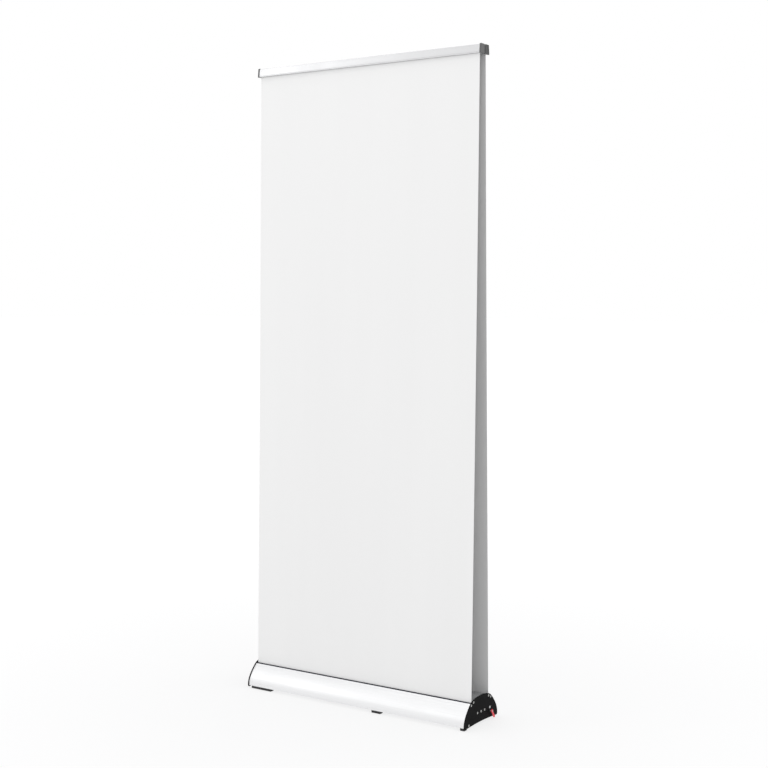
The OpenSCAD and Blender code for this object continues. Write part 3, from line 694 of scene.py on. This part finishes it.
def pin_grips():
    """Red paddles on the lock pins, with soft edges and a dished finger pad."""
    low, high = node_box("rear_pin_grip")
    thick = high.x - low.x
    # Steps of the edge: how far out from the inner face, and how far in from the outline
    edge = [
        (0.0, 1.3), (0.0, 0.8), (0.2, 0.25), (0.8, 0.0), (thick - 0.8, 0.0), (thick - 0.2, 0.25),
        (thick, 0.8), (thick, 1.3), (thick - 0.35, 1.7), (thick - GRIP_DISH, 2.1),
    ]
    rings = [[(low.x + x, y, z) for y, z in grip_ring(inset)] for x, inset in edge]
    hole = hole_rings(ROLLER.y, PIN_Z, [(low.x, GRIP_BORE_R), (high.x - GRIP_DISH, GRIP_BORE_R)], 24)
    rear = loft("rear_grip_paddle", rings, RED_PLASTIC, [hole])
    both(rear, "grip_paddle", "grip", "grip_red", "pin_grip")


# ---------------------------------------------------------------- films

FILM_COLUMNS = 60
FILM_ROWS = 140
# Side edges of a film: the width that curls inwards, and how far
CURL_W = 30.0
CURL_DEPTH = 1.1


def straight(start, end, steps):
    """Evenly spaced points from one (y, z) place to another, both included."""
    a, b = Vector(start), Vector(end)
    return [tuple(a + (b - a) * k / steps) for k in range(steps + 1)]


def film_lean():
    """Angle from upright, in degrees, of the film between the roll and the slot."""
    wind_r = node_box("rear_film_roll")[1].y - ROLLER.y + FILM_T
    d = math.hypot(SLOT_Y - ROLLER.y, SLOT_Z - ROLLER.z)
    return math.degrees(math.atan2(ROLLER.y - SLOT_Y, SLOT_Z - ROLLER.z) - math.asin(wind_r / d))


def ripple(x, z):
    """How far a tensioned film stands off its plane (mm): slow waves, none at the slot or the rail."""
    share = min(max((z - SLOT_Z) / FILM_RUN, 0.0), 1.0)
    ends = math.sin(math.pi * share) ** 0.6 if 0 < share < 1 else 0.0
    long_wave = 0.45 * math.sin(x / 71.0 + 1.3) * math.cos(share * 5.1)
    short_wave = 0.25 * math.sin(x / 31.0 + share * 4.0)
    curl = -CURL_DEPTH * max(0.0, (abs(x) - FILM_HALF_W + CURL_W) / CURL_W) ** 2
    return ends * (long_wave + short_wave + curl)


def film_mesh(name, path, columns, wave):
    """A film of its real thickness: white outer face, grey inner face and edges."""
    xs = [-FILM_HALF_W + 2 * FILM_HALF_W * k / columns for k in range(columns + 1)]
    n, rows = columns + 1, len(path)
    verts = []
    for side in (0.5, -0.5):
        for y, z in path:
            verts += [(x, y + side * FILM_T + wave(x, z), z) for x in xs]
    shift = rows * n
    faces = []
    for r in range(rows - 1):
        for i in range(r * n, r * n + columns):
            faces.append((i + 1, i, i + n, i + n + 1))
    outer = len(faces)
    faces += [tuple(i + shift for i in reversed(f)) for f in faces[:outer]]
    rim = list(range(n)) + [r * n + n - 1 for r in range(1, rows)]
    rim += [(rows - 1) * n + c for c in range(n - 2, -1, -1)] + [r * n for r in range(rows - 2, 0, -1)]
    for a, b in zip(rim, rim[1:] + rim[:1]):
        faces.append((a, b, b + shift, a + shift))
    return add_object(name, verts, faces, FILM_WHITE, 60.0, FILM_GREY, range(outer, len(faces)))


def films():
    """Both films: the long stretch from the slot up into the rail, and the short one below the slot."""
    slot, top = (SLOT_Y, SLOT_Z), (FILM_TOP_Y, SLOT_Z + FILM_RUN)
    path = straight(slot, top, FILM_ROWS) + straight(top, (FILM_TOP_Y, FILM_HIGH.z), 3)[1:]
    rear = film_mesh("rear_film", path, FILM_COLUMNS, ripple)
    low_y = SLOT_Y - (SLOT_Z - FILM_LOW.z) * math.tan(math.radians(film_lean()))
    rear_below = film_mesh("rear_film_below", straight((low_y, FILM_LOW.z), slot, 4), 8, lambda x, z: 0.0)
    both(rear, "film", "base", "banner_film", "banner")
    both(rear_below, "film_below", "base", "banner_film")
    for side, turn in (("front", -1), ("rear", 1)):
        obj = bpy.data.objects[f"{side}_film"]
        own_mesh(obj)


# ---------------------------------------------------------------- rails

RAIL_WALL = 1.8
RAIL_TAPER = 3.0
# The caps stand out past the rail's face by this much
CAP_PROUD_Y = 1.0
CAP_T = 5.0
RAIL_OUT_Y = CAP_HIGH.y - CAP_PROUD_Y
# The clamp wall's face, just behind the film
CLAMP_GAP = 0.2
CLAMP_Y = FILM_TOP_Y - FILM_T / 2 - CLAMP_GAP
# The mouth for the pole's hooks, from and to these heights above the rail's underside
HOOK_MOUTH = (5.5, 16.0)
# The jaw's bead turns in a hook ring, which is open between these angles in degrees
BEAD_R = 1.6
BEAD_PLAY = 0.05
JAW_HOOK_R = 3.2
JAW_HOOK_GAP = (-35.0, 107.0)
JAW_NECK_HALF = 0.8
JAW_TIP_Y = 19.0
# The jaw's proud lip, the groove above it, and how far the face and the groove stand in
JAW_LIP_H = 2.7
JAW_GROOVE_H = 1.0
JAW_GROOVE_IN = 1.2
JAW_FACE_IN = 0.2
JAW_SLOPE = 0.1


def rail_face_y(z):
    """Outer face of a rail at a height: it leans in towards the top."""
    return RAIL_OUT_Y - RAIL_TAPER * (z - RAIL_Z) / (RAIL_TOP_Z - RAIL_Z)


def rail_body_outline():
    """Hollow back with a mouth for the pole's hooks, clamp wall, and a hook ring for the jaw's bead."""
    low, top = RAIL_Z, RAIL_TOP_Z
    back_y, front_y = RAIL_IN_Y + RAIL_WALL, CLAMP_Y - RAIL_WALL
    floor_z, roof_z = low + RAIL_WALL, top - RAIL_WALL
    mouth_low, mouth_high = low + HOOK_MOUTH[0], low + HOOK_MOUTH[1]
    # The first and last points lie on straight walls, where the ring and its tail join
    back = fillet([
        (CLAMP_Y - 6, top, 0.0),
        (RAIL_IN_Y, top, 0.9),
        (RAIL_IN_Y, mouth_high, 0.4),
        (back_y, mouth_high, 0.4),
        (back_y, roof_z, 0.5),
        (front_y, roof_z, 0.5),
        (front_y, floor_z, 0.5),
        (back_y, floor_z, 0.5),
        (back_y, mouth_low, 0.4),
        (RAIL_IN_Y, mouth_low, 0.4),
        (RAIL_IN_Y, low, 0.9),
        (CLAMP_Y, low, 0.7),
        (CLAMP_Y, low + 12, 0.0),
    ])
    gap_low, gap_high = JAW_HOOK_GAP
    meet = math.degrees(math.acos((CLAMP_Y - HINGE.y) / JAW_HOOK_R))
    ring = arc(HINGE.y, HINGE.z, JAW_HOOK_R, -meet, gap_low, 12.0)
    ring += arc(HINGE.y, HINGE.z, BEAD_R + BEAD_PLAY, gap_low, gap_high - 360, 12.0)
    lip_z = HINGE.z + (HINGE.y - CLAMP_Y) / math.tan(math.radians(gap_high - 90))
    return back + ring + [(CLAMP_Y, lip_z), (CLAMP_Y, top - 0.5), (CLAMP_Y - 0.5, top)]


def rail_jaw_outline():
    """Bead, neck, leaning face with a round shoulder, and a proud lip along the bottom."""
    low, top = JAW_LOW.z, JAW_HIGH.z
    inside_z = low + RAIL_WALL
    lip_z = low + JAW_LIP_H
    groove_z = lip_z + JAW_GROOVE_H
    neck_y = HINGE.y + 2
    neck_low, neck_high = HINGE.z - JAW_NECK_HALF, HINGE.z + JAW_NECK_HALF
    face = fillet([
        (neck_y, neck_low, 0.0),
        (rail_face_y(HINGE.z) - RAIL_WALL, neck_low, 0.6),
        (rail_face_y(inside_z) - RAIL_WALL, inside_z, 0.8),
        (JAW_TIP_Y, inside_z, 0.4),
        (JAW_TIP_Y, low, 0.4),
        (rail_face_y(low), low, 1.3),
        (rail_face_y(low) - JAW_SLOPE, lip_z, 0.9),
        (rail_face_y(low) - JAW_GROOVE_IN, lip_z + JAW_SLOPE, 0.3),
        (rail_face_y(low) - JAW_GROOVE_IN - JAW_SLOPE, groove_z, 0.2),
        (rail_face_y(groove_z) - JAW_FACE_IN, groove_z + JAW_SLOPE, 0.3),
        (rail_face_y(top) - JAW_FACE_IN, top, 1.5),
        (rail_face_y(top) - RAIL_WALL, top, 0.3),
        (rail_face_y(HINGE.z) - RAIL_WALL, neck_high, 0.6),
        (neck_y, neck_high, 0.0),
    ])
    turn = math.degrees(math.asin(JAW_NECK_HALF / BEAD_R))
    return arc(HINGE.y, HINGE.z, BEAD_R, turn, 360 - turn, 15.0) + face


def rail_cap_outline(inset):
    """A cap's outline, a little proud of its rail outwards and upwards, moved in by inset."""
    low, top = RAIL_Z + inset, CAP_HIGH.z - inset
    inner, proud = RAIL_IN_Y + inset, CAP_PROUD_Y - inset
    return fillet([
        (inner, low, 1.2),
        (RAIL_OUT_Y + proud, low, 1.4),
        (rail_face_y(RAIL_TOP_Z) + proud, top, 2.5),
        (inner, top, 4.0),
    ])


def rail_cap(side, end, turn, material):
    """A moulded end cap with a soft outer edge and a shallow recessed panel."""
    out_x = CAP_HIGH.x
    # Steps of the edge: the place along x, and how far in from the outline
    edge = [
        (out_x - CAP_T, 0.0), (out_x - 0.8, 0.0), (out_x - 0.25, 0.25), (out_x, 0.8), (out_x, 2.0),
        (out_x - 0.35, 2.4), (out_x - 0.4, 3.0),
    ]
    rings = [[(x, y, z) for y, z in rail_cap_outline(inset)] for x, inset in edge]
    obj = loft(f"{side}_rail_end_{end}", rings, material)
    mirror = Matrix.Diagonal((turn, -1 if side == "front" else 1, 1, 1))
    obj.data.transform(mirror)
    if mirror.determinant() < 0:
        obj.data.flip_normals()
    place(obj, f"{side}_rail", f"cap_{side}", f"{side}_rail_cap_{end}")


def rails():
    """Rail bodies, jaws, soft grippers and end caps, each riding on its own body."""
    body = prism_x("rear_rail_profile", rail_body_outline(), RAIL_LOW.x, RAIL_HIGH.x, RAIL_METAL)
    both(body, "rail_profile", "rail", "rail_aluminium", "rail_body")
    jaw = prism_x("rear_rail_jaw_cover", rail_jaw_outline(), JAW_LOW.x, JAW_HIGH.x, RAIL_METAL)
    both(jaw, "rail_jaw_cover", "jaw", "rail_aluminium", "rail_jaw")
    low, high = node_box("rear_jaw_gripper")
    outline = fillet([
        (low.y, low.z, 0.5),
        (high.y, low.z, 0.1),
        (high.y, high.z, 0.1),
        (low.y, high.z, 0.5),
    ])
    strip = prism_x("rear_gripper_strip", outline, low.x, high.x, GRIPPER)
    both(strip, "gripper_strip", "jaw", "gripper_rubber", "jaw_gripper")
    # The rear caps take the darker copy of the cap grey, which is painted shade
    for side, material in (("front", CAP_FRONT), ("rear", CAP_REAR_PAINTED_SHADE)):
        for end, turn in (("right", 1), ("left", -1)):
            rail_cap(side, end, turn, material)


# ---------------------------------------------------------------- CAD nodes that are shown as they are


def two(*kinds):
    """The front and the rear node of each kind."""
    return tuple(f"{side}_{kind}" for kind in kinds for side in ("front", "rear"))


POLE_PLASTIC = ("pole_foot_plug", "middle_bush", "upper_bush")
SHOWN_NODES = (
    ("tray_aluminium", TRAY_METAL, ("bottom_tray",)),
    ("fastener_steel", SCREW_STEEL, ("end_plate_screws", "socket_screws", "tray_rivets")),
    ("axle_steel", AXLE_STEEL, two("spring_axle", "idle_pin", "lock_pin")),
    ("spring_steel", SPRING_STEEL, two("torsion_spring")),
    ("roller_aluminium", ROLLER_METAL, two("roller_tube")),
    ("plug_plastic", PLUG_PLASTIC, two("spring_plug", "spring_anchor", "idle_plug") + POLE_PLASTIC),
    ("banner_film", FILM_WHITE, two("film_roll")),
    ("socket_plastic", BLACK_PLASTIC, ("pole_socket",)),
    ("pole_aluminium", POLE_METAL, ("pole_lower_tube", "pole_middle_tube", "pole_upper_tube")),
    ("collet_plastic", COLLET_PLASTIC, ("lower_collet", "upper_collet")),
    ("collar_plastic", BLACK_PLASTIC, ("lower_lock_collar", "upper_lock_collar", "pole_head")),
)


def dress_cad_nodes():
    """Gives each CAD node that stays visible its material."""
    for slot_name, material, names in SHOWN_NODES:
        for name in names:
            node = frame["nodes"][name]
            node.data.materials.clear()
            node.data.materials.append(material)


# ---------------------------------------------------------------- floor, light and camera (metres)

WHITE = (1.0, 1.0, 1.0, 1.0)
FLOOR_HALF = 60.0
# The floor's colour under the stand, where its darker grey is painted shade, and far from it, and the
# distances between which it changes
FLOOR_NEAR_PAINTED_SHADE = (0.2, 0.2, 0.202)
FLOOR_FAR = (0.3, 0.3, 0.3)
FLOOR_FADE = (0.5, 4.5)
FLOOR_GLOW = 0.74
# The camera's place, tilt and turn in degrees, and its lens, as in the photograph
CAMERA_PLACE = (2.5603, -3.6921, 1.3420)
CAMERA_TILT = 86.3
CAMERA_TURN = 34.08
LENS_MM = 64.76
SENSOR_MM = 36.0


def floor_material():
    """Near-white floor that glows a little, with painted shade: greyer under the stand than far from it."""
    mat, tree, shader = node_tree("floor_white", FLOOR_NEAR_PAINTED_SHADE, 0.8, specular=0.0)
    shader.inputs["Emission Color"].default_value = WHITE
    shader.inputs["Emission Strength"].default_value = FLOOR_GLOW
    source = tree.nodes.new("ShaderNodeTexCoord")
    reach = tree.nodes.new("ShaderNodeVectorMath")
    reach.operation = "LENGTH"
    tree.links.new(source.outputs["Object"], reach.inputs[0])
    share = remap(tree, reach.outputs["Value"], 0.0, 1.0, *FLOOR_FADE)
    vary_colour(tree, shader, share, FLOOR_NEAR_PAINTED_SHADE, FLOOR_FAR)
    return mat


def room():
    """A wide pale floor under a bright, even sky."""
    half = FLOOR_HALF
    corners = [(-half, -half, 0), (half, -half, 0), (half, half, 0), (-half, half, 0)]
    mesh = bpy.data.meshes.new("floor")
    mesh.from_pydata(corners, [], [(0, 1, 2, 3)])
    mesh.materials.append(floor_material())
    floor = bpy.data.objects.new("floor", mesh)
    bpy.context.scene.collection.objects.link(floor)
    world = bpy.data.worlds.new("studio")
    world.use_nodes = True
    sky = world.node_tree.nodes["Background"]
    sky.inputs["Color"].default_value = WHITE
    sky.inputs["Strength"].default_value = 1.0
    bpy.context.scene.world = world
    bpy.context.scene.view_settings.view_transform = "Standard"


def soft_light(name, place_m, aim_m, size, power):
    """A square lamp at a place, turned to shine at another."""
    data = bpy.data.lights.new(name, "AREA")
    data.shape = "RECTANGLE"
    data.size = size
    data.size_y = size
    data.energy = power
    light = bpy.data.objects.new(name, data)
    light.location = place_m
    light.rotation_euler = (Vector(aim_m) - Vector(place_m)).to_track_quat("-Z", "Y").to_euler()
    bpy.context.scene.collection.objects.link(light)


def lights():
    soft_light("key", (-4.8, -4.4, 4.0), (0, 0, 0.9), 2.4, 22)
    soft_light("overhead", (0.0, 0.0, 5.0), (0, 0, 0), 4.0, 45)


def camera():
    data = bpy.data.cameras.new("camera")
    data.lens = LENS_MM
    data.sensor_width = SENSOR_MM
    cam = bpy.data.objects.new("camera", data)
    cam.location = CAMERA_PLACE
    cam.rotation_euler = (math.radians(CAMERA_TILT), 0.0, math.radians(CAMERA_TURN))
    bpy.context.scene.collection.objects.link(cam)
    bpy.context.scene.camera = cam


casing()
slot_wiper()
middle_extrusion()
end_plates()
feet()
pin_grips()
rails()
films()
dress_cad_nodes()
room()
lights()
camera()
